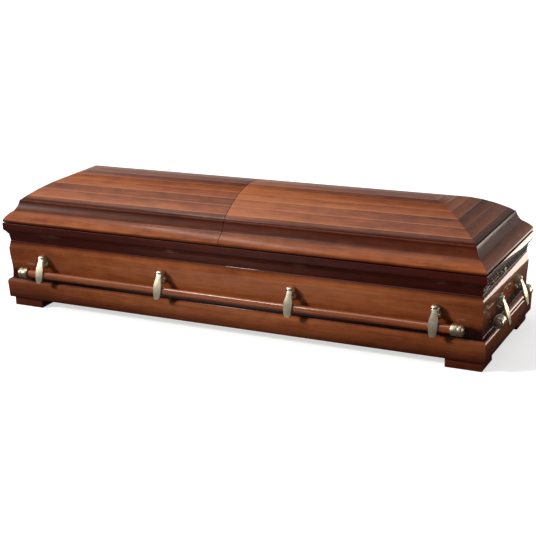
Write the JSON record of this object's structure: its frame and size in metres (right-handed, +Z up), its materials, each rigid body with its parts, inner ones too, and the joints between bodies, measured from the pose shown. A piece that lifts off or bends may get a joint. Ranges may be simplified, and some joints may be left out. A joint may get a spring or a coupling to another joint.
{
  "type": "funeral casket",
  "caption": "Two-lid hardwood funeral casket with a hipped, vaulted top, moulded rims and swing-bar handles.",
  "frame": {"origin": "on the floor, at the middle of the casket's plan", "axes": "+X to the foot end, +Y to the back where the lids are hinged, +Z up"},
  "size_m": [2.1356, 0.6876, 0.544],
  "materials": {
    "stained_wood": "reddish-brown stain under high-gloss clear lacquer",
    "bar_wood": "reddish-brown stain under high-gloss clear lacquer",
    "plain_board": "bare board",
    "cast_metal": "antiqued pale gold, satin, with light casting texture",
    "hinge_metal": "satin"
  },
  "bodies": {
    "root": {"bottom_board": "plain_board", "side_panel_front": "stained_wood", "side_panel_back": "stained_wood", "end_panel_head": "stained_wood", "end_panel_foot": "stained_wood", "rim_front": "stained_wood", "rim_back": "stained_wood", "rim_head": "stained_wood", "rim_foot": "stained_wood", "base_front": "stained_wood", "base_back": "stained_wood", "base_head": "stained_wood", "base_foot": "stained_wood", "foot_front_head": "stained_wood", "foot_front_foot": "stained_wood", "foot_back_head": "stained_wood", "foot_back_foot": "stained_wood", "hinge_leaf_body": "hinge_metal", "ear_front_1": "cast_metal", "ear_front_2": "cast_metal", "ear_front_3": "cast_metal", "ear_front_4": "cast_metal", "ear_back_1": "cast_metal", "ear_back_2": "cast_metal", "ear_back_3": "cast_metal", "ear_back_4": "cast_metal", "ear_head_1": "cast_metal", "ear_head_2": "cast_metal", "ear_foot_1": "cast_metal", "ear_foot_2": "cast_metal"},
    "head_lid": {"head_lid_moulding": "stained_wood", "head_lid_crown": "stained_wood", "head_lid_hinge_leaf": "hinge_metal"},
    "foot_lid": {"foot_lid_moulding": "stained_wood", "foot_lid_crown": "stained_wood", "foot_lid_hinge_leaf": "hinge_metal"},
    "front_handle": {"front_bar": "bar_wood", "front_arm_1": "cast_metal", "front_arm_2": "cast_metal", "front_arm_3": "cast_metal", "front_arm_4": "cast_metal", "front_tip_1": "cast_metal", "front_tip_2": "cast_metal"},
    "back_handle": {"back_bar": "bar_wood", "back_arm_1": "cast_metal", "back_arm_2": "cast_metal", "back_arm_3": "cast_metal", "back_arm_4": "cast_metal", "back_tip_1": "cast_metal", "back_tip_2": "cast_metal"},
    "head_handle": {"head_bar": "bar_wood", "head_arm_1": "cast_metal", "head_arm_2": "cast_metal", "head_tip_1": "cast_metal", "head_tip_2": "cast_metal"},
    "foot_handle": {"foot_bar": "bar_wood", "foot_arm_1": "cast_metal", "foot_arm_2": "cast_metal", "foot_tip_1": "cast_metal", "foot_tip_2": "cast_metal"}
  },
  "joints": [
    {"name": "head_lid_hinge", "type": "hinge", "parent": "root", "child": "head_lid", "pos_m": [-0.5235, 0.3118, 0.3606], "axis": [-1, 0, 0], "range_deg": [0, 100]},
    {"name": "foot_lid_hinge", "type": "hinge", "parent": "root", "child": "foot_lid", "pos_m": [0.5065, 0.3118, 0.3606], "axis": [-1, 0, 0], "range_deg": [0, 100]},
    {"name": "front_handle_swing", "type": "hinge", "parent": "root", "child": "front_handle", "pos_m": [0, -0.306, 0.2155], "axis": [-1, 0, 0], "range_deg": [0, 75]},
    {"name": "back_handle_swing", "type": "hinge", "parent": "root", "child": "back_handle", "pos_m": [0, 0.306, 0.2155], "axis": [1, 0, 0], "range_deg": [0, 75]},
    {"name": "head_handle_swing", "type": "hinge", "parent": "root", "child": "head_handle", "pos_m": [-1.03, 0, 0.2155], "axis": [0, 1, 0], "range_deg": [0, 75]},
    {"name": "foot_handle_swing", "type": "hinge", "parent": "root", "child": "foot_handle", "pos_m": [1.03, 0, 0.2155], "axis": [0, -1, 0], "range_deg": [0, 75]}
  ]
}
